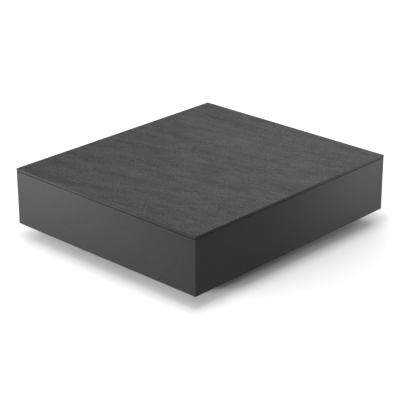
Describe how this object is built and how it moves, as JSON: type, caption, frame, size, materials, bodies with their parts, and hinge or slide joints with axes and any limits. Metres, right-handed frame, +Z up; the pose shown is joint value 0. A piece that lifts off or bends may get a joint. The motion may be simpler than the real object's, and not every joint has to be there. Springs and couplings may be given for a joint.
{
  "type": "granite slab coffee table",
  "caption": "Low rectangular coffee table: a thin dark granite slab on a mitred satin lacquered box that floats on a set-back plinth with screw-adjustable feet.",
  "frame": {"origin": "on the floor, under the middle of the table", "axes": "+X along the long side, to the right; +Y along the short side, to the back; +Z up"},
  "size_m": [1.1, 0.96, 0.284],
  "materials": {
    "granite_top": "honed dark granite, soft banding, fine grain",
    "lacquered_mdf": "satin graphite lacquer on MDF",
    "carrier_board": "black-faced MDF",
    "plinth_paint": "matt black paint on MDF",
    "birch_plywood": "raw birch plywood",
    "pine": "raw planed pine",
    "beech": "raw beech",
    "zinc_steel": "zinc-plated",
    "black_nylon": "moulded black nylon",
    "felt": "grey wool felt",
    "silicone_clear": "milky silicone"
  },
  "bodies": {
    "table": {"bottom_panel": "carrier_board", "bottom_screws": "zinc_steel", "carrier_panel": "carrier_board", "carrier_screws": "zinc_steel", "foot_block_bl": "birch_plywood", "foot_block_br": "birch_plywood", "foot_block_fl": "birch_plywood", "foot_block_fr": "birch_plywood", "foot_inserts": "zinc_steel", "glue_block_bl": "pine", "glue_block_br": "pine", "glue_block_fl": "pine", "glue_block_fr": "pine", "granite_top_slab": "granite_top", "ledger_back": "pine", "ledger_front": "pine", "ledger_left": "pine", "ledger_right": "pine", "ledger_screws": "zinc_steel", "mitre_splines": "beech", "plinth_dowels": "beech", "plinth_rail_back": "plinth_paint", "plinth_rail_front": "plinth_paint", "plinth_rail_left": "plinth_paint", "plinth_rail_right": "plinth_paint", "plinth_screws": "zinc_steel", "plinth_stretcher": "plinth_paint", "rib_cross_left": "birch_plywood", "rib_cross_right": "birch_plywood", "rib_long_back": "birch_plywood", "rib_long_front": "birch_plywood", "side_panel_back": "lacquered_mdf", "side_panel_front": "lacquered_mdf", "side_panel_left": "lacquered_mdf", "side_panel_right": "lacquered_mdf", "slab_bumpers": "silicone_clear"},
    "foot_fl": {"foot_pad_fl": "black_nylon", "foot_felt_fl": "felt"},
    "stud_fl": {"foot_stud_fl": "zinc_steel"},
    "foot_fr": {"foot_pad_fr": "black_nylon", "foot_felt_fr": "felt"},
    "stud_fr": {"foot_stud_fr": "zinc_steel"},
    "foot_bl": {"foot_pad_bl": "black_nylon", "foot_felt_bl": "felt"},
    "stud_bl": {"foot_stud_bl": "zinc_steel"},
    "foot_br": {"foot_pad_br": "black_nylon", "foot_felt_br": "felt"},
    "stud_br": {"foot_stud_br": "zinc_steel"}
  },
  "joints": [
    {"name": "foot_lift_fl", "type": "slide", "parent": "table", "child": "foot_fl", "axis": [0, 0, -1], "range_m": [0, 0.0135]},
    {"name": "stud_turn_fl", "type": "hinge", "parent": "foot_fl", "child": "stud_fl", "pos_m": [-0.377, -0.307, 0.03], "axis": [0, 0, -1], "range_deg": [0, 2880]},
    {"name": "foot_lift_fr", "type": "slide", "parent": "table", "child": "foot_fr", "axis": [0, 0, -1], "range_m": [0, 0.0135]},
    {"name": "stud_turn_fr", "type": "hinge", "parent": "foot_fr", "child": "stud_fr", "pos_m": [0.377, -0.307, 0.03], "axis": [0, 0, -1], "range_deg": [0, 2880]},
    {"name": "foot_lift_bl", "type": "slide", "parent": "table", "child": "foot_bl", "axis": [0, 0, -1], "range_m": [0, 0.0135]},
    {"name": "stud_turn_bl", "type": "hinge", "parent": "foot_bl", "child": "stud_bl", "pos_m": [-0.377, 0.307, 0.03], "axis": [0, 0, -1], "range_deg": [0, 2880]},
    {"name": "foot_lift_br", "type": "slide", "parent": "table", "child": "foot_br", "axis": [0, 0, -1], "range_m": [0, 0.0135]},
    {"name": "stud_turn_br", "type": "hinge", "parent": "foot_br", "child": "stud_br", "pos_m": [0.377, 0.307, 0.03], "axis": [0, 0, -1], "range_deg": [0, 2880]}
  ],
  "couplings": [
    {"joint": "foot_lift_fl", "follows": "stud_turn_fl", "m_per_rad": 0.00023873},
    {"joint": "foot_lift_fr", "follows": "stud_turn_fr", "m_per_rad": 0.00023873},
    {"joint": "foot_lift_bl", "follows": "stud_turn_bl", "m_per_rad": 0.00023873},
    {"joint": "foot_lift_br", "follows": "stud_turn_br", "m_per_rad": 0.00023873}
  ]
}
